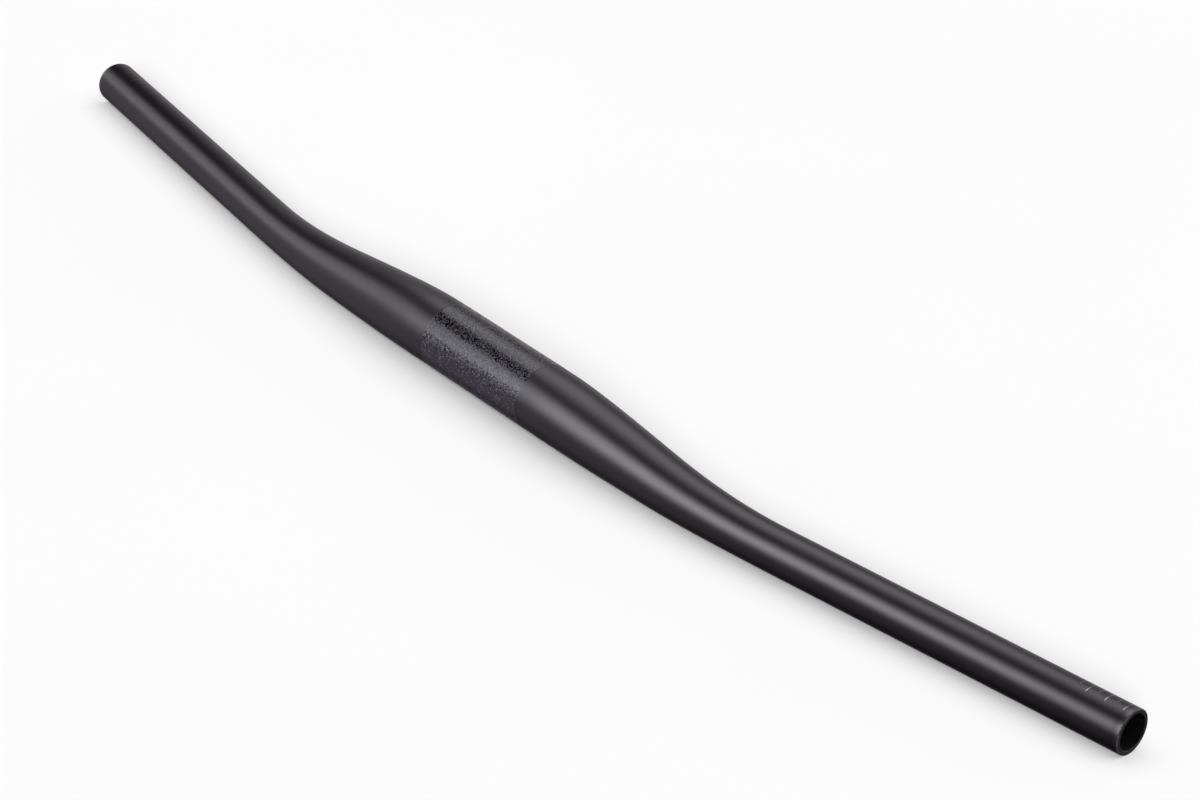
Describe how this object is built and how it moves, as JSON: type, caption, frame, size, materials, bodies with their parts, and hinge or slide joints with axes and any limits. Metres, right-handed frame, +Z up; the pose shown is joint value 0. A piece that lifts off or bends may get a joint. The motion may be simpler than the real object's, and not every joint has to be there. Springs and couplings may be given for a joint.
{
  "type": "riser handlebar",
  "caption": "Low-rise bicycle handlebar: one hollow black tube with a thick rough clamp zone for the stem, long smooth tapers and straight swept grips with open ends.",
  "frame": {"origin": "centre of the stem clamp zone, on its axis", "axes": "+X along the clamp axis towards one end (the bar is the same both ways), +Y the way the grips sweep, +Z up with the bar lying on a flat surface; turned about +X by about 34 degrees, from +Y towards +Z, it stands as mounted: about 8 degrees of back sweep, 5 degrees of up sweep and 17 mm of rise at the ends"},
  "size_m": [0.8036, 0.0696, 0.0352],
  "materials": {
    "bar_finish": "satin black clear coat over a moulded fibre composite, with a rough grit coat on the clamp zone"
  },
  "bodies": {
    "root": {"handlebar": "bar_finish"}
  },
  "joints": []
}
